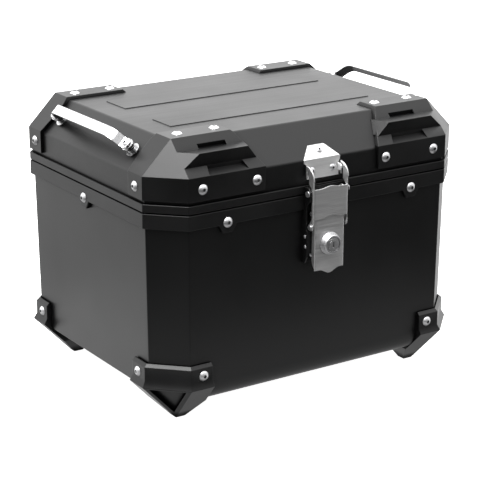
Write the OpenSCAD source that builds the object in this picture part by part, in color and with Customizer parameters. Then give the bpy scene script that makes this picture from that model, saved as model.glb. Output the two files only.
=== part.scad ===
// Aluminium top case for a motorcycle rack: a folded body and a faceted lid, plastic corner guards,
// two bar handles, two rear hinges and a locking draw latch. Millimetres, +Z up, front face at -Y.
// The corner parts are drawn once in the +X +Y corner and mirrored to the other three.

/* [Case outline] */
// Width over the corner guards
case_w = 430; // [424:1:440]
// Depth over the corner guards
case_d = 345; // [341:1:353]
// Size of the cut across each upright corner
corner_cut = 37; // [35:0.5:39]
// Thickness of the sheet metal
sheet_t = 2; // [1.5:0.5:2]
// Round or sharp detail of curved surfaces
smoothness = 48; // [32:16:96]

/* [Heights above the ground] */
// Underside of the body floor
floor_z = 24; // [23.5:0.5:24.5]
// Bottom of the body rim
body_rim_z = 235.4; // [234:0.2:236]
// Joint line between body and lid
parting_z = 253.3; // [253:0.1:254]
// Bottom edge of the lid guards
guard_z = 267.6; // [267:0.2:268.4]
// Bend line from the upright lid faces to the slopes
bend_z = 294.5; // [294:0.5:295]
// Top of the lid guards
top_z = 331.5; // [331:0.5:332]

/* [Body] */
// Sideways gap from the rim face in to the body sheet
body_inset = 4; // [3.8:0.1:4.2]
// Inward lean of the body walls for each millimetre of drop
body_lean = 0.0132; // [0.012:0.0004:0.014]
// Radius of the bend along the front and rear bottom edges
bottom_bend_r = 26; // [24:1:26]
// Hole spacing of the floor pattern across the case
rack_hole_x = 160; // [140:5:180]
// Hole spacing of the floor pattern front to back
rack_hole_y = 100; // [80:5:120]
// Radius of the rack bolt holes
rack_hole_r = 3.3; // [3.2:0.1:4.3]

/* [Lid] */
// Gap from the guard face in to the upright lid sheet
lid_inset = 3.7; // [3.6:0.1:3.8]
// Gap from the guard slope in to the lid sheet slope
slope_inset = 4.6; // [4.4:0.1:4.8]
// Drop from the guard top to the flat lid top
panel_drop = 3.5; // [3.4:0.1:3.8]
// Height of each raised stripe on the lid top
emboss = 0.9; // [0.6:0.1:1]

/* [Handles] */
// Distance between the two feet of a handle
handle_span = 168; // [160:2:172]
// Height of the grip above the guard slope
handle_rise = 25; // [22:1:26]
// Width of the handle strip
strip_w = 12; // [10:1:14]
// Thickness of the handle strip
strip_t = 3; // [2.5:0.5:3]

/* [Latch] */
// Half width of the link over its two arms
link_half = 24.3; // [24:0.1:24.4]
// Height of the lever pivot
pivot_z = 255.5; // [255:0.5:256]
// Height of the pin between lever and link
link_pin_z = 216; // [215:0.5:217]
// Height of the lock axis
lock_z = 195; // [194:0.5:196]

/* [Hidden] */
$fn = smoothness;

// Colours
black_sheet = [0.09, 0.09, 0.095];
black_plastic = [0.13, 0.13, 0.14];
bright_zinc = [0.80, 0.80, 0.82];
polished = [0.90, 0.90, 0.92];
stainless = [0.66, 0.66, 0.67];
rubber = [0.05, 0.05, 0.05];
bare_sheet = [0.55, 0.56, 0.58];

// Outline values: half sizes, and the sum x + y along an upright corner face
hw = case_w / 2;
hd = case_d / 2;
corner_sum = hw + hd - corner_cut;
root2 = sqrt(2);
root3 = sqrt(3);
span = 700;

// Rims
seal_gap = 1.4;
body_rim_top = parting_z - seal_gap / 2;
lid_rim_low = parting_z + seal_gap / 2;
lid_rim_top = lid_rim_low + 9.4;
flange_t = 2;
flange_reach = 12.2;
seal_w = 3.6;
tab_top_w = 24;
tab_low_w = 12;
tab_z = 226;
rim_screw_z = 238;
rim_screw_x = 128;

// Body sheet
body_top = body_rim_top - flange_t;
body_hw = hw - body_inset - 0.2;
body_hd = hd - body_inset + 0.1;
body_sum = body_hw + body_hd - corner_cut + 1.9;
bevel_z = 42.7;
bevel_run = 26;
corner_bevel_z = 52.8;
corner_bevel_run = 19.5;

// Lid sheet
lid_low = lid_rim_low + flange_t;
lid_bend_r = 4.5;
lid_top_z = top_z - panel_drop;
stripe_x = [-143, 135];
front_stripe = [-77, -37];
rear_stripe = [26, 71];

// Lid guards
guard_screw_z = bend_z - 14.2;
guard_screw_x = [160, 89.5];
guard_side_screw_y = 119.5;
guard_top_screw_x = [160, 112];
guard_top_screw_y = 119;
shelf_z = 319;
shelf_out = hd - 6.5;
ledge_low_z = 304;
ledge_low_y = hd - 9.2;
pocket_back_z = 299.3;

// Foot guards
foot_face_x = hw - 0.4;
foot_face_y = hd - 0.9;
foot_face_sum = foot_face_x + foot_face_y - 38;
foot_x = [160, 172];
foot_y = [118, 129.5];
foot_screw_z = 63;
foot_screw_x = 160;
foot_screw_y = 118;
foot_top_z = 76;
foot_gap = 1.3;
foot_gap_depth = 3;
foot_chamfer = 3.5;
foot_band_z = 56;
foot_leg_x = 148;
foot_leg_y = 106;
foot_panel_depth = 4.5;
foot_rim_w = 4;

// Screws: button head radius and height, shank radius, hole radius, nut radius over corners and height
head_r = 6;
head_h = 3;
shank_r = 3;
hole_r = 3.1;
nut_r = 5.6;
nut_h = 4.5;
socket_r = 2.2;
socket_depth = 2.2;

// Handles: middle of the side slope, and the spool under each foot
slope_mid_x = hw - 17.6;
slope_mid_z = hw + bend_z - slope_mid_x;
spool_r = 8;
spool_neck_r = 5;
spool_top = 8;
strip_turn = 57;
strip_bend_r = 16;
foot_bend_r = 4;
foot_flat = 5;
foot_pad_r = strip_w / 2 + 0.5;

// Latch: positions as distances in front of the case centre, measured towards -Y; latch_x is its offset
link_face = hd + 14.5;
plate_t = 1.5;
lever_face = link_face - plate_t - 0.2;
lever_half = 20.6;
arm_t = 1.5;
lever_low_z = 164.5;
link_plate_z = [226, 261];
lever_bend_r = 2;
link_bend_r = 2.5;
pivot_y = hd + 7.5;
link_pin_y = hd + 8.5;
pivot_r = 2;
link_pin_r = 1.75;
turn_gap = 0.05;
base_half = 26.8;
base_wall = 2;
base_low_z = 172;
base_top_z = 262;
base_back = hd + 0.5;
lock_face = lever_face + 7.8;
lock_cone_r = [13.4, 10.3];
plug_r = 5.5;
barrel_r = 8;
barrel_end = hd + 6.1;
strike_face = hd + 5.5;
strike_t = 1.5;
cam_front = hd + 3.1;
cam_t = 1.8;
cam_w = 6;
cam_reach = 13;
keeper_half = 24.5;
keeper_t = 2;
keeper_low_z = 269.5;
keeper_top_z = 304.5;
keeper_top_half = 10.7;
keeper_low_half = 21.5;
keeper_ear_x = [19.6, 21.4];
keeper_stud = [hd + 3, 279.5];
hook_r = 15.5;
hook_back = hd - 1;
hook_z = 270.5;
latch_x = 1.2;

// Hinges: axis place and sizes
hinge_y = hd + 5;
hinge_z = parting_z;
knuckle_r = 4.5;
hinge_pin_r = 2;
hinge_x = 50;
hinge_len = 50;
knuckle_len = 14;
knuckle_gap = 0.3;
leaf_t = 2;

// Grip lengths under screw heads, small bolt sizes and other fastener values
rim_grip = 6.4;
foot_grip = [8.4, 7.6];
guard_grip = lid_inset + sheet_t;
guard_top_grip = panel_drop + sheet_t;
bolt_r = 2.5;
bolt_hole_r = 2.6;
rivet_r = 2;
rivet_face = hd - 1.5;
rivet_grip = 6;
hinge_body_screw_z = 218;
hinge_lid_screw_z = 280;
lid_leaf_face = hd - lid_inset + 0.05 + leaf_t;
keeper_k = hd + bend_z - slope_inset * root2 + keeper_t * root2;
keeper_screw_x = 14.4;
wave_half = 14;
strike_slot = 5.6;
plate_w = 240;
plate_d = 180;
foot_ridge = 4;
foot_ridge_z = 49;
space_tilt = atan(1 / root2);
shelf_end_heading = 161.5;
shelf_end_tilt = 37.4;
shelf_end_distance = 162.2;
notch_x = [113.5, 150];

// The front reaches to the lock plug and the rear to the hinge knuckles: the shift centres the box
front_reach = lock_face + 0.3;
rear_reach = hinge_y + knuckle_r;
centre_shift = (front_reach - rear_reach) / 2;

// ---------- shared shapes ----------

// Moves a part from the case's own middle to the middle of the whole object
module seat() {
    translate([0, centre_shift, 0]) children();
}

// Moves a latch part from its own middle to its place on the front
module latch_seat() {
    seat() translate([latch_x, 0, 0]) children();
}

// Turns the +X +Y corner into another one; -1 mirrors that direction
module corner(sx, sy) {
    mirror([sx < 0 ? 1 : 0, 0, 0]) mirror([0, sy < 0 ? 1 : 0, 0]) children();
}

module all_corners() {
    for (sx = [-1, 1], sy = [-1, 1]) corner(sx, sy) children();
}

// Both sides of an upright outline, from its right side given as [distance, height] from the bottom up
function both_sides(pts) = concat(pts, [for (i = [len(pts) - 1:-1:0]) [-pts[i][0], pts[i][1]]]);

// Runs an upright 2D outline through the case; turn 0 outlines X, turn 90 outlines Y
module run(turn = 0) {
    rotate([0, 0, turn]) rotate([90, 0, 0]) linear_extrude(height = span, center = true) children();
}

module run_outline(pts, turn) {
    run(turn) polygon(both_sides(pts));
}

// A prism between two levels with the case's eight-sided outline, moved in by inset
module octagon_prism(inset, low, high) {
    cut_sum = corner_sum - inset * root2;
    a = hw - inset;
    b = hd - inset;
    translate([0, 0, low]) linear_extrude(height = high - low)
        polygon([
            [a, cut_sum - a], [cut_sum - b, b], [b - cut_sum, b], [-a, cut_sum - a],
            [-a, a - cut_sum], [b - cut_sum, -b], [cut_sum - b, -b], [a, a - cut_sum]
        ]);
}

function unit(v) = v / norm(v);

// Points that turn the corner of an outline into a bend; radius 0 keeps the corner
function bend(before, corner, after, r, steps = 4) =
    r == 0 ? [corner] :
    let (
        u = unit(before - corner),
        v = unit(after - corner),
        half = acos(u * v) / 2,
        centre = corner + unit(u + v) * r / sin(half),
        first = corner + u * r / tan(half) - centre,
        last = corner + v * r / tan(half) - centre
    )
    [for (i = [0:steps]) centre + r * unit(first * (steps - i) + last * i)];

// Right side of the lid outline: upright wall, slope at 45 degrees and half of the flat top
function lid_outline(wall_face, low, slope_sum, top, r) =
    let (
        foot = [wall_face, low],
        fold = [wall_face, slope_sum - wall_face],
        brow = [slope_sum - top, top]
    )
    concat([foot], bend(foot, fold, brow, r), bend(fold, brow, [0, top], r));

// Walls, slopes, corner triangles and flat top of the lid, each moved in by its own inset
module lid_solid(wall, slope, top, low, bend_r = 0) {
    side_k = hw + bend_z - slope * root2;
    front_k = hd + bend_z - slope * root2;
    corner_k = corner_sum + bend_z - slope * root3;
    wall_sum = corner_sum - wall * root2;
    corner_pts = [
        [wall_sum / root2, low], [wall_sum / root2, corner_k - wall_sum], [(corner_k - top) / root2, top]
    ];
    intersection() {
        run_outline(lid_outline(hw - wall, low, side_k, top, bend_r), 0);
        run_outline(lid_outline(hd - wall, low, front_k, top, bend_r), 90);
        run_outline(corner_pts, 45);
        run_outline(corner_pts, -45);
    }
}

// Half width of a leaning body wall at a height, from its half width at the top of the sheet
function wall_at(half, z) = half - body_lean * (body_top - z);

// Right side of a body outline with a bevelled bottom edge, moved in by inset
function bevelled(half, run_in, edge_z, inset, high) =
    let (
        wall = wall_at(half, edge_z),
        foot = wall - run_in,
        rise = (edge_z - floor_z) / run_in,
        lift = sqrt(1 + rise * rise)
    )
    [
        [foot + inset * (1 - lift) / rise, floor_z + inset],
        [wall - inset, edge_z - inset * rise + inset * lift],
        [wall_at(half, high) - inset, high]
    ];

// Front-to-back outline of the body with its round bottom bends, moved in by inset
module body_depth_outline(inset, high) {
    low = floor_z + inset;
    bend_r = bottom_bend_r - inset;
    tilt = sqrt(1 + body_lean * body_lean);
    centre_z = low + bend_r;
    centre_y = wall_at(body_hd, centre_z) - inset - bend_r * tilt;
    touch = [centre_y + bend_r / tilt, centre_z - bend_r * body_lean / tilt];
    polygon(both_sides([[centre_y, low], touch, [wall_at(body_hd, high) - inset, high]]));
    for (s = [-1, 1]) translate([s * centre_y, centre_z]) circle(r = bend_r);
}

// The leaning body with bevelled side edges and corners, moved in by inset
module body_solid(inset, high) {
    corner_pts = bevelled(body_sum / root2, corner_bevel_run, corner_bevel_z, inset, high);
    intersection() {
        run_outline(bevelled(body_hw, bevel_run, bevel_z, inset, high), 0);
        run(90) body_depth_outline(inset, high);
        run_outline(corner_pts, 45);
        run_outline(corner_pts, -45);
    }
}

// Outside of the foot guards, tapering from the band down to the four pads
module foot_solid(inset) {
    pad_sum = foot_x[1] + foot_y[1];
    intersection() {
        run_outline(foot_outline(foot_face_x - inset, foot_x[1] - inset), 0);
        run_outline(foot_outline(foot_face_y - inset, foot_y[1] - inset), 90);
        run_outline(foot_outline(foot_face_sum / root2, pad_sum / root2), 45);
        run_outline(foot_outline(foot_face_sum / root2, pad_sum / root2), -45);
    }
}

// Right side of a foot guard outline: pad, slope, ridge, band and top chamfer
function foot_outline(face, pad) = [
    [pad, 0], [face + foot_ridge, foot_ridge_z], [face, foot_band_z],
    [face, foot_top_z - foot_chamfer], [face - foot_chamfer, foot_top_z]
];

// Keeps everything on the inner side of a slanted plane: heading and tilt of its normal, distance out
module half_space(heading, tilt, distance) {
    rotate([0, -tilt, heading]) translate([distance - span, -span / 2, -span / 2]) cube(span);
}

// Turns +Z outwards: "front", "rear", "right", "left"; the top needs no turn
module face_front() { rotate([90, 0, 0]) children(); }
module face_rear() { rotate([-90, 0, 0]) children(); }
module face_right() { rotate([0, 90, 0]) children(); }
module face_left() { rotate([0, -90, 0]) children(); }

// Domed button-head screw standing on the plane z = 0, shank pointing down
module button_screw(shank, head = head_r, high = head_h, thread = shank_r, socket = socket_r) {
    dome_r = (head * head + high * high) / (2 * high);
    difference() {
        intersection() {
            translate([0, 0, high - dome_r]) sphere(r = dome_r);
            cylinder(r = head, h = high);
        }
        translate([0, 0, high - socket_depth]) cylinder(r = socket, h = 3, $fn = 6);
    }
    translate([0, 0, -shank]) cylinder(r = thread, h = shank);
}

module hex_nut(across = nut_r, high = nut_h, hole = shank_r) {
    difference() {
        cylinder(r = across, h = high, $fn = 6);
        translate([0, 0, -1]) cylinder(r = hole, h = high + 2);
    }
}

module through_hole(r = hole_r, depth = 20) {
    translate([0, 0, -depth]) cylinder(r = r, h = depth + 8);
}

// A raised cosine bump of the given height and half width
function bump(x, high, half) = abs(x) < half ? high * (1 + cos(180 * x / half)) / 2 : 0;

// Points on an arc in an outline's own plane
function arc(centre, r, from, to, steps = 6) =
    [for (i = [0:steps]) let (a = from + (to - from) * i / steps) centre + r * [cos(a), sin(a)]];

// ---------- fastener places ----------

// Body rim: two screws on the front and rear tabs, one at each side
module at_rim_screws(in = 0) {
    for (sx = [-1, 1]) {
        translate([sx * rim_screw_x, -hd + in, rim_screw_z]) face_front() children();
        translate([sx * rim_screw_x, hd - in, rim_screw_z]) face_rear() children();
    }
    translate([hw - in, 0, rim_screw_z]) face_right() children();
    translate([-hw + in, 0, rim_screw_z]) face_left() children();
}

// Foot guards: one screw on the long face and one on the side face of each corner
module at_foot_screws(in = [0, 0]) {
    all_corners() {
        translate([foot_screw_x, foot_face_y - in[1], foot_screw_z]) face_rear() children();
        translate([foot_face_x - in[0], foot_screw_y, foot_screw_z]) face_right() children();
    }
}

// Lid guard of one corner: two screws on the long face, one at the side, two on top
module at_guard_screws(in = 0, top_in = 0) {
    for (x = guard_screw_x) translate([x, hd - in, guard_screw_z]) face_rear() children();
    translate([hw - in, guard_side_screw_y, guard_screw_z]) face_right() children();
    for (x = guard_top_screw_x) translate([x, guard_top_screw_y, top_z - top_in]) children();
}

// Middle of the right side slope, local +Z square to the slope and local +X down it
module at_side_slope(side) {
    mirror([side < 0 ? 1 : 0, 0, 0]) translate([slope_mid_x, 0, slope_mid_z]) rotate([0, 45, 0]) children();
}

module at_handle_feet(side) {
    at_side_slope(side) for (s = [-1, 1]) translate([0, s * handle_span / 2, 0]) children();
}

// Keeper: one screw on the slope and two on the upright part
module at_keeper_screws(in = 0) {
    for (x = [-keeper_screw_x, keeper_screw_x])
        translate([x, -hd + lid_inset - keeper_t + in, 279]) face_front() children();
    translate([0, 300 - keeper_k, 300]) rotate([45, 0, 0]) translate([0, 0, -in]) children();
}

// Rear hinges: screws in the lid leaf and in the body leaf
module at_hinge_screws(z_list, face_y) {
    for (s = [-1, 1], dx = [-16, 16], z = z_list)
        translate([s * hinge_x + dx, face_y, z]) face_rear() children();
}

module at_base_rivets() {
    for (x = [-14, 14], z = [181, 229]) translate([latch_x + x, -rivet_face, z]) face_front() children();
}

// ---------- body ----------

module body_shell() {
    color(black_sheet) seat() difference() {
        body_solid(0, body_top);
        body_solid(sheet_t, body_top + 1);
        at_rim_screws() through_hole();
        at_foot_screws() through_hole();
        at_hinge_screws([hinge_body_screw_z], hd) through_hole(bolt_hole_r);
        at_base_rivets() through_hole(rivet_r + 0.05, 14);
        rack_holes();
    }
}

module rack_holes() {
    for (x = [-1, 1], y = [-1, 1])
        translate([x * rack_hole_x / 2, y * rack_hole_y / 2, floor_z - 1]) cylinder(r = rack_hole_r, h = 20);
}

module body_rim() {
    color(black_plastic) seat() difference() {
        union() {
            octagon_prism(0, body_rim_z, body_rim_top);
            rim_tabs();
        }
        body_solid(0, body_top);
        octagon_prism(flange_reach, body_top - 1, body_rim_top + 1);
        at_rim_screws() through_hole();
    }
}

module rim_tabs() {
    intersection() {
        octagon_prism(0, tab_z - 1, body_rim_z + 1);
        union() {
            for (x = [-rim_screw_x, rim_screw_x]) translate([x, 0, 0]) run() tab_outline();
            run(90) tab_outline();
        }
    }
}

module tab_outline() {
    polygon([
        [-tab_top_w / 2, body_rim_z + 1], [-tab_low_w / 2, tab_z], [tab_low_w / 2, tab_z],
        [tab_top_w / 2, body_rim_z + 1]
    ]);
}

module rim_screws() {
    color(bright_zinc) seat() at_rim_screws() button_screw(rim_grip + nut_h + 1);
}

module rim_nuts() {
    color(bright_zinc) seat() at_rim_screws(rim_grip) translate([0, 0, -nut_h]) hex_nut();
}

module floor_plate() {
    color(bare_sheet) seat() difference() {
        translate([-plate_w / 2, -plate_d / 2, floor_z + sheet_t]) cube([plate_w, plate_d, 2]);
        rack_holes();
    }
}

// One foot guard: a block round the body's lower corner, with a sunk triangle between its two legs
module foot_guard(sx, sy) {
    color(black_plastic) seat() corner(sx, sy) difference() {
        intersection() {
            foot_solid(0);
            run() polygon([
                [foot_leg_x, foot_top_z + 1], [foot_leg_x, 46], [foot_leg_x - 3, floor_z - 1],
                [foot_x[0], 0], [span, 0], [span, foot_top_z + 1]
            ]);
            run(90) polygon([
                [foot_leg_y, foot_top_z + 1], [foot_leg_y, 46], [foot_leg_y - 3, floor_z - 1],
                [foot_y[0], 0], [span, 0], [span, foot_top_z + 1]
            ]);
        }
        body_solid(0, body_top);
        intersection() {
            body_solid(-foot_gap, body_top);
            translate([0, 0, foot_top_z - foot_gap_depth]) cube([span, span, 10]);
        }
        foot_pocket();
        at_foot_screws() through_hole();
    }
}

module foot_pocket() {
    low_t = (foot_x[1] + foot_y[1]) / root2;
    high_t = (foot_face_sum) / root2 + foot_ridge;
    sink = foot_panel_depth * sqrt(1 + pow((high_t - low_t) / foot_ridge_z, 2));
    intersection() {
        foot_solid(foot_rim_w);
        translate([0, 0, 6]) cube([span, span, foot_ridge_z - 8]);
        run(45) polygon([
            [low_t - sink, 0], [high_t - sink, foot_ridge_z], [span, foot_ridge_z], [span, 0]
        ]);
    }
}

module foot_guard_front_left() { foot_guard(-1, -1); }
module foot_guard_front_right() { foot_guard(1, -1); }
module foot_guard_rear_left() { foot_guard(-1, 1); }
module foot_guard_rear_right() { foot_guard(1, 1); }

module foot_guard_screws() {
    color(bright_zinc) seat() at_foot_screws() button_screw(foot_grip[0] + nut_h + 1);
}

module foot_guard_nuts() {
    color(bright_zinc) seat() at_foot_screws(foot_grip) translate([0, 0, -nut_h]) hex_nut();
}

// ---------- lid ----------

module lid_shell() {
    color(black_sheet) seat() difference() {
        union() {
            lid_solid(lid_inset, slope_inset, lid_top_z, lid_low, lid_bend_r);
            lid_stripe(front_stripe);
            lid_stripe(rear_stripe);
        }
        lid_solid(
            lid_inset + sheet_t, slope_inset + sheet_t, lid_top_z - sheet_t, lid_low - 1,
            lid_bend_r - sheet_t
        );
        all_corners() at_guard_screws() through_hole();
        for (side = [-1, 1]) at_handle_feet(side) through_hole(bolt_hole_r, 16);
        at_keeper_screws() through_hole(bolt_hole_r, 12);
        at_hinge_screws([hinge_lid_screw_z], lid_leaf_face) through_hole(bolt_hole_r, 8);
    }
}

// Raised stripe on the lid top between two depths
module lid_stripe(y) {
    translate([stripe_x[0], y[0], lid_top_z - 0.5])
        cube([stripe_x[1] - stripe_x[0], y[1] - y[0], emboss + 0.5]);
}

module lid_rim() {
    color(black_plastic) seat() difference() {
        octagon_prism(0, lid_rim_low, lid_rim_top);
        lid_solid(lid_inset, slope_inset, lid_top_z, lid_low);
        octagon_prism(flange_reach - seal_w - 0.4, lid_rim_low - 1, lid_low + 1);
    }
}

module lid_seal() {
    color(rubber) seat() difference() {
        octagon_prism(flange_reach - seal_w - 0.4, body_rim_top + 0.2, lid_low);
        octagon_prism(flange_reach - 0.4, body_rim_top - 1, lid_low + 1);
    }
}

// One lid guard: band, two slopes and top flap, with a shelf and two sunk steps on its long slope
module lid_guard(sx, sy) {
    color(black_plastic) seat() corner(sx, sy) difference() {
        union() {
            guard_block();
            guard_shelf();
        }
        lid_solid(lid_inset, slope_inset, lid_top_z, guard_z - 2, lid_bend_r);
        guard_notch();
        guard_pocket();
        at_guard_screws() through_hole();
    }
}

module guard_block() {
    intersection() {
        lid_solid(0, 0, top_z, guard_z);
        run() polygon([
            [79, guard_z - 1], [78, bend_z], [98, top_z - 3], [102.5, top_z + 1],
            [span / 2, top_z + 1], [span / 2, guard_z - 1]
        ]);
        run(90) polygon([
            [105, guard_z - 1], [105, bend_z], [102, bend_z + 14], [102, top_z - 7], [105.5, top_z + 1],
            [span / 2, top_z + 1], [span / 2, guard_z - 1]
        ]);
    }
}

module guard_shelf() {
    intersection() {
        run(90) polygon([
            [hd - 30, shelf_z], [shelf_out, shelf_z], [ledge_low_y, ledge_low_z], [hd - 30, ledge_low_z]
        ]);
        half_space(45, space_tilt, (corner_sum + bend_z) / root3);
        half_space(shelf_end_heading, shelf_end_tilt, shelf_end_distance);
        cube(span / 2);
    }
}

module guard_notch() {
    translate([notch_x[0], hd - 29, shelf_z]) cube([notch_x[1] - notch_x[0], 29, 9]);
}

module guard_pocket() {
    intersection() {
        run(90) polygon([
            [ledge_low_y, pocket_back_z], [ledge_low_y, ledge_low_z], [hd + 9, ledge_low_z],
            [hd + 9, bend_z], [hd, bend_z]
        ]);
        run() polygon([[104, ledge_low_z + 1], [149, ledge_low_z + 1], [152, bend_z - 4], [98, bend_z - 4]]);
    }
}

module lid_guard_front_left() { lid_guard(-1, -1); }
module lid_guard_front_right() { lid_guard(1, -1); }
module lid_guard_rear_left() { lid_guard(-1, 1); }
module lid_guard_rear_right() { lid_guard(1, 1); }

module lid_guard_screws() {
    color(bright_zinc) seat() all_corners() at_guard_screws() button_screw(guard_grip + nut_h + 1);
}

module lid_guard_nuts() {
    color(bright_zinc) seat() all_corners() at_guard_screws(guard_grip, guard_top_grip)
        translate([0, 0, -nut_h]) hex_nut();
}

// ---------- handles ----------

// One face of the strip from the middle of the grip to the middle of a foot; off is half the thickness
function strip_face(off) =
    let (
        high = handle_rise,
        low = spool_top + strip_t / 2,
        both_r = strip_bend_r + foot_bend_r,
        slant = (high - low - both_r * (1 - cos(strip_turn))) / sin(strip_turn),
        foot_y = handle_span / 2 - foot_flat,
        bend_y = foot_y - both_r * sin(strip_turn) - slant * cos(strip_turn)
    )
    concat(
        [[0, high + off]],
        arc([bend_y, high - strip_bend_r], strip_bend_r + off, 90, 90 - strip_turn, 8),
        arc([foot_y, low + foot_bend_r], foot_bend_r - off, 270 - strip_turn, 270),
        [[handle_span / 2, low + off]]
    );

module strip_half() {
    upper = strip_face(strip_t / 2);
    lower = strip_face(-strip_t / 2);
    rotate([90, 0, 90]) linear_extrude(height = strip_w, center = true)
        polygon(concat(upper, [for (i = [len(lower) - 1:-1:0]) lower[i]]));
}

module handle(side) {
    color(polished) seat() difference() {
        at_side_slope(side) {
            strip_half();
            mirror([0, 1, 0]) strip_half();
            for (s = [-1, 1]) translate([0, s * handle_span / 2, spool_top])
                cylinder(r = foot_pad_r, h = strip_t);
        }
        at_handle_feet(side) cylinder(r = bolt_hole_r, h = 30);
    }
}

module handle_left() { handle(-1); }
module handle_right() { handle(1); }

module handle_bosses() {
    color(polished) seat() for (side = [-1, 1]) at_handle_feet(side) difference() {
        union() {
            translate([0, 0, -slope_inset]) cylinder(r = spool_r + 0.5, h = 3);
            translate([0, 0, -slope_inset]) cylinder(r = spool_neck_r, h = slope_inset + spool_top - 1);
            translate([0, 0, spool_top - 3.5]) cylinder(r = spool_r - 0.5, h = 3.5);
        }
        translate([0, 0, -slope_inset - 1]) cylinder(r = bolt_hole_r, h = 30);
    }
}

module handle_bolts() {
    bolt_len = spool_top + strip_t + slope_inset + sheet_t + nut_h + 1;
    color(bright_zinc) seat() for (side = [-1, 1]) at_handle_feet(side)
        translate([0, 0, spool_top + strip_t])
            button_screw(bolt_len, head = 4.5, high = 2.6, thread = bolt_r, socket = 2.3);
}

module handle_nuts() {
    color(bright_zinc) seat() for (side = [-1, 1]) at_handle_feet(side)
        translate([0, 0, -slope_inset - sheet_t - nut_h]) hex_nut(4.8, nut_h, bolt_r);
}

// ---------- keeper on the lid ----------

module keeper_plate() {
    back = hd - lid_inset;
    slope_k = hd + bend_z - slope_inset * root2;
    color(stainless) seat() difference() {
        union() {
            intersection() {
                run(90) polygon([
                    [-back, keeper_low_z], [-back - keeper_t, keeper_low_z],
                    [-back - keeper_t, keeper_k - back - keeper_t], [keeper_top_z - keeper_k, keeper_top_z],
                    [keeper_top_z - slope_k, keeper_top_z], [-back, slope_k - back]
                ]);
                run() polygon([
                    [latch_x - keeper_low_half, keeper_low_z], [latch_x + keeper_low_half, keeper_low_z],
                    [latch_x + keeper_low_half, 285], [keeper_half, 288], [keeper_half, 292],
                    [keeper_top_half, keeper_top_z], [-keeper_top_half, keeper_top_z],
                    [-keeper_half, 292], [-keeper_half, 288], [latch_x - keeper_low_half, 285]
                ]);
            }
            for (s = [-1, 1]) keeper_ear(s);
        }
        at_keeper_screws() through_hole(bolt_hole_r, 12);
    }
}

// Folded ear with a short stud that the hook of the link reaches over
module keeper_ear(s) {
    ear_w = keeper_ear_x[1] - keeper_ear_x[0];
    translate([latch_x, 0, 0]) mirror([s < 0 ? 1 : 0, 0, 0]) {
        translate([keeper_ear_x[0], 0, 0]) rotate([90, 0, 90]) linear_extrude(height = ear_w)
            polygon([
                [-hd + 3, 274], [-hd - 4, 276.5], [-hd - 5.5, 278.5], [-hd - 5.5, 281], [-hd - 4, 283],
                [-hd + 3, 284]
            ]);
        translate([keeper_ear_x[1] - 0.5, -keeper_stud[0], keeper_stud[1]]) rotate([0, 90, 0])
            cylinder(r = 1.7, h = link_half - arm_t - 0.3 - keeper_ear_x[1] + 0.5);
    }
}

module keeper_screws() {
    color(bright_zinc) seat() at_keeper_screws()
        button_screw(10, head = 4.2, high = 2, thread = bolt_r, socket = 1.5);
}

// ---------- rear hinges ----------

// Cylinder along X on the hinge axis between two places along a leaf
module hinge_rod(from, to, r) {
    translate([from - hinge_len / 2, hinge_y, hinge_z]) rotate([0, 90, 0]) cylinder(r = r, h = to - from);
}

// Stepped leaf plate between two heights, cut clear of the other leaf's knuckles
module leaf_plate(outline) {
    rotate([90, 0, 90]) linear_extrude(height = hinge_len, center = true) polygon(outline);
}

module hinge_body_leaf(side) {
    rim_y = hd + 0.1;
    sheet_y = lid_leaf_face - leaf_t - 0.1;
    step_z = body_rim_z - 1;
    color(black_sheet) seat() difference() {
        translate([side * hinge_x, 0, 0]) difference() {
            union() {
                leaf_plate([
                    [sheet_y, 205], [sheet_y + leaf_t, 205], [sheet_y + leaf_t, step_z - leaf_t],
                    [rim_y + leaf_t, step_z - leaf_t], [rim_y + leaf_t, hinge_z - 0.3],
                    [rim_y, hinge_z - 0.3], [rim_y, step_z], [sheet_y, step_z]
                ]);
                hinge_rod(0, knuckle_len, knuckle_r);
                hinge_rod(hinge_len - knuckle_len, hinge_len, knuckle_r);
            }
            hinge_rod(knuckle_len, hinge_len - knuckle_len, knuckle_r + 0.5);
            hinge_rod(-1, hinge_len + 1, hinge_pin_r + turn_gap);
        }
        at_hinge_screws([hinge_body_screw_z], hd) through_hole(bolt_hole_r);
    }
}

module hinge_lid_leaf(side) {
    rim_y = hd + 0.1;
    sheet_y = lid_leaf_face - leaf_t;
    step_z = lid_rim_top + 1;
    near = knuckle_len + knuckle_gap;
    color(black_sheet) seat() difference() {
        translate([side * hinge_x, 0, 0]) difference() {
            union() {
                leaf_plate([
                    [rim_y, hinge_z + 0.3], [rim_y + leaf_t, hinge_z + 0.3],
                    [rim_y + leaf_t, step_z + leaf_t], [sheet_y + leaf_t, step_z + leaf_t],
                    [sheet_y + leaf_t, 289], [sheet_y, 289], [sheet_y, step_z], [rim_y, step_z]
                ]);
                hinge_rod(near, hinge_len - near, knuckle_r);
            }
            hinge_rod(-1, near, knuckle_r + 0.5);
            hinge_rod(hinge_len - near, hinge_len + 1, knuckle_r + 0.5);
            hinge_rod(-1, hinge_len + 1, hinge_pin_r + turn_gap);
        }
        at_hinge_screws([hinge_lid_screw_z], hd) through_hole(bolt_hole_r);
    }
}

module hinge_body_leaf_left() { hinge_body_leaf(-1); }
module hinge_body_leaf_right() { hinge_body_leaf(1); }
module hinge_lid_leaf_left() { hinge_lid_leaf(-1); }
module hinge_lid_leaf_right() { hinge_lid_leaf(1); }

module hinge_pins() {
    color(stainless) seat() for (s = [-1, 1]) translate([s * hinge_x, 0, 0]) {
        hinge_rod(-0.1, hinge_len + 0.1, hinge_pin_r);
        hinge_rod(-1.5, -0.1, hinge_pin_r + 1.2);
        hinge_rod(hinge_len + 0.1, hinge_len + 1.5, hinge_pin_r + 1.2);
    }
}

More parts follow.
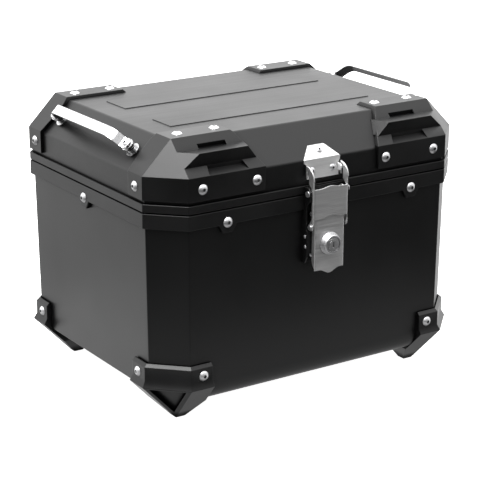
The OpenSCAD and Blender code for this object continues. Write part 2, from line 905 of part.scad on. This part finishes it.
module hinge_body_screws() {
    color(bright_zinc) seat() at_hinge_screws([hinge_body_screw_z], lid_leaf_face - 0.1)
        button_screw(8, head = 4.6, high = 2.4, thread = bolt_r, socket = 1.6);
}

module hinge_lid_screws() {
    color(bright_zinc) seat() at_hinge_screws([hinge_lid_screw_z], lid_leaf_face)
        button_screw(8, head = 4.6, high = 2.4, thread = bolt_r, socket = 1.6);
}

// ---------- latch ----------

// A sheet of the latch standing on edge: 2D outline in [front distance, height], between two X places
module upright_sheet(from, to) {
    for (s = [-1, 1]) mirror([s < 0 ? 1 : 0, 0, 0])
        translate([from, 0, 0]) mirror([0, 1, 0]) rotate([90, 0, 90]) linear_extrude(height = to - from)
            children();
}

// Cylinder along X at a latch pivot
module cross_rod(y, z, r, half, from = 0) {
    if (from == 0) translate([-half, -y, z]) rotate([0, 90, 0]) cylinder(r = r, h = 2 * half);
    if (from > 0) for (s = [-1, 1]) mirror([s < 0 ? 1 : 0, 0, 0])
        translate([from, -y, z]) rotate([0, 90, 0]) cylinder(r = r, h = half - from);
}

// Flat plate facing the front, with a wavy top and bottom edge
module front_plate(half, face, low, low_bump, high, high_bump) {
    step = half / 10;
    translate([0, -face + plate_t, 0]) rotate([90, 0, 0]) linear_extrude(height = plate_t)
        polygon(concat(
            [for (i = [-10:10]) [i * step, low + bump(i * step, low_bump, wave_half)]],
            [for (i = [10:-1:-10]) [i * step, high + bump(i * step, high_bump, wave_half)]]
        ));
}

// Rounds the upright outer edges of a bent sheet between two heights
module bend_cut(half, face, r, low, high) {
    for (s = [-1, 1]) mirror([s < 0 ? 1 : 0, 0, 0]) translate([half - r, r - face, low]) difference() {
        translate([0, -r - 1, 0]) cube([r + 1, r + 1, high - low]);
        translate([0, 0, -1]) cylinder(r = r, h = high - low + 2);
    }
}

module latch_base() {
    cheek_in = base_half - base_wall;
    color(black_sheet) latch_seat() difference() {
        union() {
            upright_sheet(cheek_in, base_half) {
                polygon([
                    [hd - 6, base_low_z], [hd + 1, base_low_z], [strike_face, base_low_z + 8],
                    [strike_face, 208], [hd + 4, 211], [hd + 4, 241], [hd + 11.5, 248], [hd + 11.5, 258],
                    [hd + 8, base_top_z],
                    [base_back, base_top_z], [base_back, body_rim_z - 0.5], [hd - 6, body_rim_z - 0.5]
                ]);
            }
            translate([-base_half, -rivet_face, base_low_z])
                cube([2 * base_half, rivet_face - hd + 6, body_rim_z - 0.5 - base_low_z]);
            translate([-base_half, -base_back - 1.6, body_rim_z - 2.5])
                cube([2 * base_half, 1.6 + base_back - hd + 3, 2]);
            translate([-base_half, -base_back - 1.6, body_rim_z - 2.5])
                cube([2 * base_half, 1.6, base_top_z - body_rim_z + 2.5]);
            translate([-base_half, -strike_face, 184]) cube([2 * base_half, strike_t, 27.8]);
        }
        translate([-latch_x, 0, 0]) body_solid(0, body_top);
        translate([-strike_slot, -strike_face - 1, lock_z - 6]) cube([2 * strike_slot, strike_t + 2, 30]);
        cross_rod(pivot_y, pivot_z, pivot_r + turn_gap, 40);
        translate([-latch_x, 0, 0]) at_base_rivets() through_hole(rivet_r + 0.05, 14);
        at_strike_rivets() translate([0, 0, -3]) cylinder(r = rivet_r - 0.5, h = 6);
    }
}

// Two small rivets on each cheek that carry the strike
module at_strike_rivets() {
    for (s = [-1, 1], p = [[hd + 1.6, 204], [hd + 2.4, 192]])
        mirror([s < 0 ? 1 : 0, 0, 0]) translate([base_half, -p[0], p[1]]) rotate([0, 90, 0]) children();
}

module strike_rivets() {
    color(bright_zinc) latch_seat() at_strike_rivets() {
        translate([0, 0, -base_wall]) cylinder(r = rivet_r - 0.5, h = base_wall);
        rivet_head(2.2, 1);
    }
}

module rivet_head(r, high) {
    dome_r = (r * r + high * high) / (2 * high);
    intersection() {
        translate([0, 0, high - dome_r]) sphere(r = dome_r);
        cylinder(r = r, h = high);
    }
}

module latch_base_rivets() {
    color(bright_zinc) seat() at_base_rivets() {
        rivet_head(4, 1.5);
        translate([0, 0, -rivet_grip]) cylinder(r = rivet_r, h = rivet_grip);
        translate([0, 0, -rivet_grip]) mirror([0, 0, 1]) rivet_head(3.5, 1.5);
    }
}

module latch_pivot_pin() {
    color(bright_zinc) latch_seat() {
        cross_rod(pivot_y, pivot_z, pivot_r, base_half + 0.1);
        cross_rod(pivot_y, pivot_z, pivot_r + 1.5, base_half + 1.5, base_half + 0.1);
    }
}

module latch_lever() {
    cheek_in = lever_half - plate_t;
    color(stainless) latch_seat() difference() {
        union() {
            front_plate(lever_half, lever_face, lever_low_z, -5, pivot_z - 1.5, 0);
            upright_sheet(cheek_in, lever_half) {
                polygon([
                    [lever_face, lever_low_z + 1], [lever_face - 4.5, lever_low_z + 5.5], [hd + 6.6, 176],
                    [hd + 6.6, pivot_z], [lever_face, pivot_z + 1]
                ]);
                translate([pivot_y, pivot_z]) circle(r = 5);
                translate([link_pin_y, link_pin_z]) circle(r = 4.2);
            }
        }
        cross_rod(pivot_y, pivot_z, pivot_r + turn_gap, 40);
        cross_rod(link_pin_y, link_pin_z, link_pin_r + turn_gap, 40);
        at_lock() translate([0, 0, -30]) cylinder(r = barrel_r + turn_gap, h = 60);
        bend_cut(lever_half, lever_face, lever_bend_r, lever_low_z - 6, pivot_z + 6);
    }
}

module link_pin() {
    color(bright_zinc) latch_seat() {
        cross_rod(link_pin_y, link_pin_z, link_pin_r, link_half + 0.1);
        cross_rod(link_pin_y, link_pin_z, link_pin_r + 1.25, link_half + 1.5, link_half + 0.1);
    }
}

// Link: front plate with two straps that end in a hook at the top and an eye at the bottom
module latch_link() {
    color(stainless) latch_seat() difference() {
        union() {
            front_plate(link_half, link_face, link_plate_z[0], 3, link_plate_z[1], 2);
            upright_sheet(link_half - arm_t, link_half) {
                arm_outline();
                translate([link_pin_y, link_pin_z]) circle(r = 4);
            }
        }
        cross_rod(link_pin_y, link_pin_z, link_pin_r + turn_gap, 40);
        bend_cut(link_half, link_face, link_bend_r, link_plate_z[0] - 5, hook_z);
    }
}

// Arm of the link: a rounded head with a claw over the keeper stud, and a strap down to the eye
module arm_outline() {
    strap = 3.5;
    difference() {
        polygon(concat(
            [[link_pin_y + 3, link_pin_z - 1], [link_face, 223]],
            arc([link_face - hook_r, hook_z], hook_r, 0, 90, 12),
            [
                [hook_back, hook_z + hook_r], [hook_back, hook_z + 2], [link_face - strap, hook_z - 9],
                [link_face - strap, 227], [link_pin_y - 3, link_pin_z + 1]
            ]
        ));
        translate(keeper_stud) circle(r = 2.2);
        translate([keeper_stud[0] - 2.2, hook_z - 9]) square([4.4, keeper_stud[1] - hook_z + 9]);
    }
}

// ---------- lock ----------

// Lock axis, local +Z towards the front, local zero on the face of the lever
module at_lock() {
    translate([0, 0, lock_z]) face_front() translate([0, 0, lever_face]) children();
}

module lock_barrel() {
    cone_h = lock_face - lever_face;
    color(stainless) latch_seat() at_lock() difference() {
        union() {
            rotate_extrude() polygon([
                [0, 0], [lock_cone_r[0], 0], [lock_cone_r[0], 1], [lock_cone_r[1] + 0.6, cone_h - 0.6],
                [lock_cone_r[1], cone_h], [0, cone_h]
            ]);
            translate([0, 0, barrel_end - lever_face]) cylinder(r = barrel_r, h = lever_face - barrel_end);
        }
        translate([0, 0, -30]) cylinder(r = plug_r + turn_gap, h = 60);
        translate([0, 0, cone_h - 0.5]) difference() {
            cylinder(r = 8.6, h = 2);
            translate([0, 0, -1]) cylinder(r = 7.6, h = 4);
        }
    }
}

module lock_nut() {
    color(bright_zinc) latch_seat() at_lock() translate([0, 0, -plate_t - 2.8]) hex_nut(11, 2.8, barrel_r);
}

module lock_plug() {
    cone_h = lock_face - lever_face;
    back = barrel_end - lever_face;
    cam_back = cam_front - cam_t - lever_face;
    color(stainless) latch_seat() at_lock() difference() {
        union() {
            translate([0, 0, back]) cylinder(r = plug_r, h = cone_h + 0.3 - back);
            translate([0, 0, cam_back]) cylinder(r = 2.5, h = back - cam_back);
        }
        translate([-0.8, -3.2, cone_h - 4]) cube([1.6, 6.4, 6]);
    }
}

// Inner face of the cam on the lock axis
module at_cam() {
    at_lock() translate([0, 0, cam_front - cam_t - lever_face]) children();
}

// Cam that points up when unlocked and passes the slot of the strike
module lock_cam() {
    color(bright_zinc) latch_seat() at_cam() difference() {
        union() {
            cylinder(r = 5, h = cam_t);
            translate([-cam_w / 2, 0, 0]) cube([cam_w, cam_reach, cam_t]);
        }
        translate([0, 0, -1]) cylinder(r = 2.5, h = cam_t + 2);
    }
}

module cam_screw() {
    color(bright_zinc) latch_seat() at_cam() mirror([0, 0, 1]) rivet_head(3.6, 1.4);
}

// ---------- drawing ----------

body_shell();
body_rim();
rim_screws();
rim_nuts();
floor_plate();
foot_guard_front_left();
foot_guard_front_right();
foot_guard_rear_left();
foot_guard_rear_right();
foot_guard_screws();
foot_guard_nuts();
hinge_body_leaf_left();
hinge_body_leaf_right();
hinge_pins();
hinge_body_screws();
latch_base();
latch_base_rivets();
strike_rivets();
latch_pivot_pin();
lid_shell();
lid_rim();
lid_seal();
lid_guard_front_left();
lid_guard_front_right();
lid_guard_rear_left();
lid_guard_rear_right();
lid_guard_screws();
lid_guard_nuts();
handle_left();
handle_right();
handle_bosses();
handle_bolts();
handle_nuts();
keeper_plate();
keeper_screws();
hinge_lid_leaf_left();
hinge_lid_leaf_right();
hinge_lid_screws();
latch_lever();
link_pin();
lock_barrel();
lock_nut();
latch_link();
lock_plug();
lock_cam();
cam_screw();
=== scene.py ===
"""Looks of the motorcycle top case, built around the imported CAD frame. Lengths are in metres."""
import math

import bpy
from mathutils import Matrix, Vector

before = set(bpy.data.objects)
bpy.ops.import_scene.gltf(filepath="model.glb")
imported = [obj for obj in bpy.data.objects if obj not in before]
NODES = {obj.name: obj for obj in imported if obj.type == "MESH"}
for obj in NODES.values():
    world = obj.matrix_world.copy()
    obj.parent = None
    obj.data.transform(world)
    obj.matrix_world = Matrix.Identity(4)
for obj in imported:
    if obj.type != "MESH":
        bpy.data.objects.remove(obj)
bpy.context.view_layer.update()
scene = bpy.context.scene

WHITE = (1, 1, 1, 1)

# How patterns are stretched: along the least stretched axis their marks run long
EVEN = (1, 1, 1)
ROLLED = (2.5, 260, 260)  # rolling lines across the coated sheets
MILLED = (2, 90, 90)  # the bare floor plate, across
BRUSHED = (3, 120, 120)  # brushing marks across the latch
BUFFED = (60, 3, 60)  # polishing marks along the handles

NOISE_RANGE = (0.3, 0.7)  # the part of 0 to 1 that a noise mostly fills
NORMAL_SAMPLES = 6  # rays for a softened edge in the shading
GAP_SAMPLES = 6  # rays for finding gaps
GAP_REACH = 0.012  # gaps narrower than this get painted shade, a lower specular level, on coated and plastic pieces
OPEN_SHINE = 0.5  # the shader's specular level away from gaps

# Widths of softened edges, in the mesh or in the shading
WIDE_EDGE = 0.0009
FINE_EDGE = 0.0004
THIN_EDGE = 0.0003
CRISP = 0

WELD_DISTANCE = 0.000005
CRISP_ANGLE = math.radians(30)  # edges sharper than this are split
FLAT_ANGLE = math.radians(0.5)  # faces closer than this are merged into one
BEVEL_ANGLE = math.radians(22)  # edges sharper than this are softened

# ---------- material helpers ----------


def new_material(name):
    """A node material, its tree and its Principled shader."""
    mat = bpy.data.materials.new(name)
    mat.use_nodes = True
    tree = mat.node_tree
    shader = tree.nodes["Principled BSDF"]
    return mat, tree, shader


def add(tree, kind, **values):
    """A new node with the given settings."""
    node = tree.nodes.new(kind)
    for key, value in values.items():
        setattr(node, key, value)
    return node


def place(tree, stretch=EVEN):
    """Object coordinates, stretched along each axis."""
    coord = add(tree, "ShaderNodeTexCoord")
    mapping = add(tree, "ShaderNodeMapping")
    mapping.inputs["Scale"].default_value = stretch
    tree.links.new(coord.outputs["Object"], mapping.inputs["Vector"])
    return mapping.outputs["Vector"]


def noise(tree, vector, scale, detail=2.0, rough=0.5):
    """Noise from 0 to 1."""
    node = add(tree, "ShaderNodeTexNoise")
    node.inputs["Scale"].default_value = scale
    node.inputs["Detail"].default_value = detail
    node.inputs["Roughness"].default_value = rough
    tree.links.new(vector, node.inputs["Vector"])
    return node.outputs["Fac"]


def ramp(tree, value, from_range, to_range, smooth=False):
    """Maps a value from one range to another and holds it at the ends."""
    node = add(tree, "ShaderNodeMapRange")
    if smooth:
        node.interpolation_type = "SMOOTHSTEP"
    node.inputs["From Min"].default_value, node.inputs["From Max"].default_value = from_range
    node.inputs["To Min"].default_value, node.inputs["To Max"].default_value = to_range
    tree.links.new(value, node.inputs["Value"])
    return node.outputs["Result"]


def spread(tree, value, low, high):
    """Maps a noise value to a range."""
    return ramp(tree, value, NOISE_RANGE, (low, high))


def around(tree, value, middle, reach):
    """Maps a noise value to a range around a middle."""
    return spread(tree, value, middle - reach, middle + reach)


def tint(tree, value, dark, light):
    """Colour between two greys, driven by a value from 0 to 1."""
    node = add(tree, "ShaderNodeMix", data_type="RGBA")
    node.inputs["A"].default_value = (*dark, 1)
    node.inputs["B"].default_value = (*light, 1)
    tree.links.new(value, node.inputs["Factor"])
    return node.outputs["Result"]


def darken(tree, colour, value):
    """Colour multiplied by a value from 0 to 1."""
    node = add(tree, "ShaderNodeMix", data_type="RGBA", blend_type="MULTIPLY")
    node.inputs["Factor"].default_value = 1
    tree.links.new(colour, node.inputs["A"])
    tree.links.new(value, node.inputs["B"])
    return node.outputs["Result"]


def bump(tree, shader, height, strength, distance, edge=CRISP):
    """Surface relief; edge is the radius that softens sharp edges in the shading."""
    node = add(tree, "ShaderNodeBump")
    if edge:
        soft = add(tree, "ShaderNodeBevel", samples=NORMAL_SAMPLES)
        soft.inputs["Radius"].default_value = edge
        tree.links.new(soft.outputs["Normal"], node.inputs["Normal"])
    node.inputs["Strength"].default_value = strength
    node.inputs["Distance"].default_value = distance
    tree.links.new(height, node.inputs["Height"])
    tree.links.new(node.outputs["Normal"], shader.inputs["Normal"])


def sum_of(tree, a, b, weight):
    """a + b * weight."""
    node = add(tree, "ShaderNodeMath", operation="MULTIPLY_ADD")
    node.inputs[1].default_value = weight
    tree.links.new(b, node.inputs[0])
    tree.links.new(a, node.inputs[2])
    return node.outputs[0]


def product(tree, a, b):
    """a * b."""
    node = add(tree, "ShaderNodeMath", operation="MULTIPLY")
    tree.links.new(a, node.inputs[0])
    tree.links.new(b, node.inputs[1])
    return node.outputs[0]


def painted_gap_shade(tree, reach, shut, clear, dark, bright):
    """Painted shade from an occlusion test: falls from bright to dark in gaps and corners narrower
    than reach.

    A point is deep in a gap where less than shut of its surroundings is open, and free above clear.
    """
    gap = add(tree, "ShaderNodeAmbientOcclusion", samples=GAP_SAMPLES)
    gap.inputs["Distance"].default_value = reach
    return ramp(tree, gap.outputs["AO"], (shut, clear), (dark, bright))


# ---------- materials ----------


def cool_grey(level):
    """A near-black grey with a touch of blue."""
    return (level, level, level + 0.0001)


def powder_coat(name, dark, light, rough, streaks=0.0):
    """Satin black powder coat: orange peel, cloudy gloss, and rolling lines along X."""
    mat, tree, shader = new_material(name)
    even = place(tree)
    grain = noise(tree, even, scale=1500, detail=3, rough=0.6)
    peel = noise(tree, even, scale=420)
    cloud = noise(tree, even, scale=9, detail=3)
    lines = noise(tree, place(tree, ROLLED), scale=1, detail=4, rough=0.6)
    gloss = sum_of(tree, around(tree, cloud, rough, 0.03), lines, weight=streaks)
    tree.links.new(gloss, shader.inputs["Roughness"])
    tone = sum_of(tree, spread(tree, cloud, 0.2, 0.6), lines, weight=streaks * 3)
    tree.links.new(tint(tree, tone, cool_grey(dark), cool_grey(light)), shader.inputs["Base Color"])
    height = sum_of(tree, sum_of(tree, peel, grain, weight=0.5), lines, weight=streaks * 2)
    bump(tree, shader, height, strength=0.35, distance=0.00008)
    # painted shade: the specular level falls in gaps and corners where shade would be
    shine_with_painted_shade = painted_gap_shade(tree, GAP_REACH, shut=0.3, clear=0.9, dark=0.1, bright=OPEN_SHINE)
    tree.links.new(shine_with_painted_shade, shader.inputs["Specular IOR Level"])
    shader.inputs["IOR"].default_value = 1.5
    return mat


def grained_plastic(name, dark, light, rough, edge=CRISP):
    """Moulded black plastic with a fine leather-like grain."""
    mat, tree, shader = new_material(name)
    even = place(tree)
    cells = add(tree, "ShaderNodeTexVoronoi", feature="SMOOTH_F1")
    cells.inputs["Scale"].default_value = 1100
    tree.links.new(even, cells.inputs["Vector"])
    fine = noise(tree, even, scale=2600)
    cloud = noise(tree, even, scale=14, detail=3)
    tree.links.new(around(tree, cloud, rough, 0.04), shader.inputs["Roughness"])
    tone = spread(tree, cloud, 0, 1)
    tree.links.new(tint(tree, tone, cool_grey(dark), cool_grey(light)), shader.inputs["Base Color"])
    height = sum_of(tree, cells.outputs["Distance"], fine, weight=0.4)
    bump(tree, shader, height, strength=0.2, distance=0.0001, edge=edge)
    # painted shade: the specular level falls in gaps, notches and pockets where shade would be
    shine_with_painted_shade = painted_gap_shade(tree, GAP_REACH, shut=0.56, clear=0.92, dark=0.02, bright=OPEN_SHINE)
    tree.links.new(shine_with_painted_shade, shader.inputs["Specular IOR Level"])
    shader.inputs["IOR"].default_value = 1.48
    return mat


def metal(name, dark, light, rough, swing=0.06, stretch=EVEN, scale=300, grain=0.1, reach=0.002):
    """Bare metal, with painted shade that darkens its colour in gaps narrower than reach.

    Its marks run along the least stretched axis, and its roughness swings around rough.
    """
    mat, tree, shader = new_material(name)
    marks = noise(tree, place(tree, stretch), scale, detail=4, rough=0.65)
    cloud = noise(tree, place(tree), scale=60, detail=3)
    tone = sum_of(tree, spread(tree, marks, 0, 0.7), cloud, weight=0.3)
    shade = painted_gap_shade(tree, reach, shut=0.25, clear=0.75, dark=0.05, bright=1)
    colour = darken(tree, tint(tree, tone, dark, light), shade)
    tree.links.new(colour, shader.inputs["Base Color"])
    tree.links.new(around(tree, marks, rough, swing), shader.inputs["Roughness"])
    bump(tree, shader, marks, strength=grain, distance=0.00005, edge=FINE_EDGE)
    shader.inputs["Metallic"].default_value = 1.0
    return mat


def rubber():
    """Matt black rubber."""
    mat, tree, shader = new_material("rubber")
    fine = noise(tree, place(tree), scale=900, detail=3)
    tree.links.new(spread(tree, fine, 0.65, 0.8), shader.inputs["Roughness"])
    colour = tint(tree, fine, (0.006, 0.006, 0.006), (0.014, 0.014, 0.014))
    tree.links.new(colour, shader.inputs["Base Color"])
    bump(tree, shader, fine, strength=0.3, distance=0.0001)
    return mat


COAT = powder_coat("powder_coat", dark=0.0008, light=0.0018, rough=0.36)
LID_COAT = powder_coat("powder_coat_lid", dark=0.0008, light=0.002, rough=0.32, streaks=0.09)
FITTING = powder_coat("coated_fitting", dark=0.001, light=0.002, rough=0.38)
GUARD = grained_plastic("guard_plastic", dark=0.001, light=0.0025, rough=0.36, edge=WIDE_EDGE)
RIM = grained_plastic("rim_plastic", dark=0.001, light=0.0022, rough=0.38)
# the zinc's reach paints shade into the screw sockets
ZINC = metal(
    "bright_zinc", (0.72, 0.72, 0.73), (0.92, 0.92, 0.93), rough=0.42, scale=500, reach=0.005
)
# the 5 cm reach paints shade on the handles where the lid lies under them
POLISHED = metal(
    "polished_aluminium", (0.86, 0.86, 0.87), (0.96, 0.96, 0.97), rough=0.2, swing=0.04,
    stretch=BUFFED, scale=8, grain=0.05, reach=0.05,
)
STEEL = metal(
    "brushed_steel", (0.74, 0.74, 0.74), (0.90, 0.90, 0.90), rough=0.46, swing=0.08,
    stretch=BRUSHED, scale=8, grain=0.12,
)
# a lighter, rougher copy of the brushed steel for the keeper: painted light for its upward-facing
# sheet
PAINTED_LIGHT_PLATE = metal(
    "keeper_steel_painted_light", (0.86, 0.86, 0.86), (0.97, 0.97, 0.97), rough=0.6,
    stretch=BRUSHED, scale=8, grain=0.12,
)
LOCK = metal("turned_steel", (0.66, 0.66, 0.67), (0.84, 0.84, 0.85), rough=0.38, scale=400)
MILL = metal(
    "mill_sheet", (0.40, 0.41, 0.42), (0.52, 0.53, 0.54), rough=0.42, swing=0.08,
    stretch=MILLED, scale=6,
)
RUBBER = rubber()

# ---------- which node wears what ----------

# Material and edge width of single nodes, then of nodes whose names start alike
LOOKS = {
    "body_shell": (COAT, WIDE_EDGE),
    "lid_shell": (LID_COAT, FINE_EDGE),
    "body_rim": (RIM, WIDE_EDGE),
    "lid_rim": (RIM, WIDE_EDGE),
    "lid_seal": (RUBBER, THIN_EDGE),
    "floor_plate": (MILL, THIN_EDGE),
    "latch_base": (FITTING, FINE_EDGE),
    "latch_lever": (STEEL, CRISP),
    "latch_link": (STEEL, CRISP),
    "keeper_plate": (PAINTED_LIGHT_PLATE, CRISP),
    "lock_barrel": (LOCK, CRISP),
    "lock_plug": (LOCK, CRISP),
    "handle_left": (POLISHED, CRISP),
    "handle_right": (POLISHED, CRISP),
    "handle_bosses": (POLISHED, CRISP),
}
FAMILY_LOOKS = {
    ("lid_guard_f", "lid_guard_r", "foot_guard_f", "foot_guard_r"): (GUARD, CRISP),
    ("hinge_body_leaf", "hinge_lid_leaf"): (FITTING, FINE_EDGE),
}
FASTENER_LOOK = (ZINC, CRISP)


def look_of(part):
    """Material and edge width of a node. What isn't listed is a fastener."""
    if part in LOOKS:
        return LOOKS[part]
    for starts, look in FAMILY_LOOKS.items():
        if part.startswith(starts):
            return look
    return FASTENER_LOOK


def dress(obj, mat, edge):
    """Gives a CAD node its material and its softened or crisp edges."""
    mesh = obj.data
    mesh.materials.clear()
    mesh.materials.append(mat)
    if "custom_normal" in mesh.attributes:
        mesh.attributes.remove(mesh.attributes["custom_normal"])
    mesh.polygons.foreach_set("use_smooth", [True] * len(mesh.polygons))
    weld = obj.modifiers.new("weld", "WELD")
    weld.merge_threshold = WELD_DISTANCE
    if edge == CRISP:
        split = obj.modifiers.new("crisp", "EDGE_SPLIT")
        split.split_angle = CRISP_ANGLE
        return
    if mat in (COAT, LID_COAT, RIM):
        planar = obj.modifiers.new("planar", "DECIMATE")
        planar.decimate_type = "DISSOLVE"
        planar.angle_limit = FLAT_ANGLE
    bevel = obj.modifiers.new("edge", "BEVEL")
    bevel.width = edge
    bevel.segments = 2
    bevel.limit_method = "ANGLE"
    bevel.angle_limit = BEVEL_ANGLE
    bevel.use_clamp_overlap = False
    bevel.loop_slide = False
    normals = obj.modifiers.new("normals", "WEIGHTED_NORMAL")
    normals.keep_sharp = False
    normals.weight = 90


for part in NODES:
    dress(NODES[part], *look_of(part))

# ---------- floor, light and camera ----------


def floor():
    """A pale floor that glows enough to burn out to white; reflections don't show it."""
    bpy.ops.mesh.primitive_plane_add(size=60)
    plane = bpy.context.object
    plane.name = "floor"
    mat, tree, shader = new_material("floor")
    soft = noise(tree, place(tree), scale=3)
    colour = tint(tree, soft, (0.88, 0.88, 0.88), (0.9, 0.9, 0.9))
    tree.links.new(colour, shader.inputs["Base Color"])
    shader.inputs["Roughness"].default_value = 0.9
    shader.inputs["Specular IOR Level"].default_value = 0.0
    shader.inputs["Emission Color"].default_value = WHITE
    shader.inputs["Emission Strength"].default_value = 1.0
    plane.data.materials.append(mat)
    plane.visible_glossy = False


def look_at(obj, where, target):
    """Puts a lamp or camera at a place and turns it to a target."""
    obj.location = where
    obj.rotation_mode = "QUATERNION"
    obj.rotation_quaternion = (Vector(target) - Vector(where)).to_track_quat("-Z", "Y")
    scene.collection.objects.link(obj)


def softbox(name, where, aim, size, power):
    """A rectangular lamp that the camera doesn't see."""
    data = bpy.data.lights.new(name, "AREA")
    data.shape = "RECTANGLE"
    data.size, data.size_y = size
    data.energy = power
    lamp = bpy.data.objects.new(name, data)
    lamp.visible_camera = False
    look_at(lamp, where, aim)


GLOW_DIRECTION = (0.15, 0.6, 0.7)  # up and behind the case, where the room is brightest


def studio_world():
    """A room bright above and behind the case, brighter to the right, and dark underneath."""
    world = bpy.data.worlds.new("studio")
    scene.world = world
    world.use_nodes = True
    tree = world.node_tree
    back = tree.nodes["Background"]
    coord = add(tree, "ShaderNodeTexCoord")
    axes = add(tree, "ShaderNodeSeparateXYZ")
    tree.links.new(coord.outputs["Generated"], axes.inputs["Vector"])
    rearward = add(tree, "ShaderNodeVectorMath", operation="DOT_PRODUCT")
    rearward.inputs[1].default_value = GLOW_DIRECTION
    tree.links.new(coord.outputs["Generated"], rearward.inputs[0])
    rear_glow = ramp(tree, rearward.outputs["Value"], (-0.6, 0.72), (0.03, 1), smooth=True)
    right_gain = ramp(tree, axes.outputs["X"], (-1, 1), (1.36, 2.04))
    under = ramp(tree, axes.outputs["Z"], (-0.65, -0.38), (0.25, 1), smooth=True)
    strength = product(tree, product(tree, rear_glow, right_gain), under)
    tree.links.new(strength, back.inputs["Strength"])
    back.inputs["Color"].default_value = WHITE


def camera():
    """A camera like the photograph's, fitted to its outline and its screw places."""
    data = bpy.data.cameras.new("camera")
    data.sensor_width = 36
    data.lens = 127.6
    data.clip_end = 50
    cam = bpy.data.objects.new("camera", data)
    look_at(cam, where=(-1.0948, -1.6669, 0.789), target=(0.0006, 0.0057, 0.1489))
    scene.camera = cam


floor()
studio_world()
softbox("top_softbox", where=(-0.7, -0.3, 1.9), aim=(0, 0, 0.15), size=(1.5, 1.5), power=62)
softbox(
    "floor_glow", where=(-0.06, -0.04, 0.002), aim=(-0.06, -0.04, 1), size=(0.82, 0.68), power=0.75
)
camera()
scene.view_settings.view_transform = "Standard"
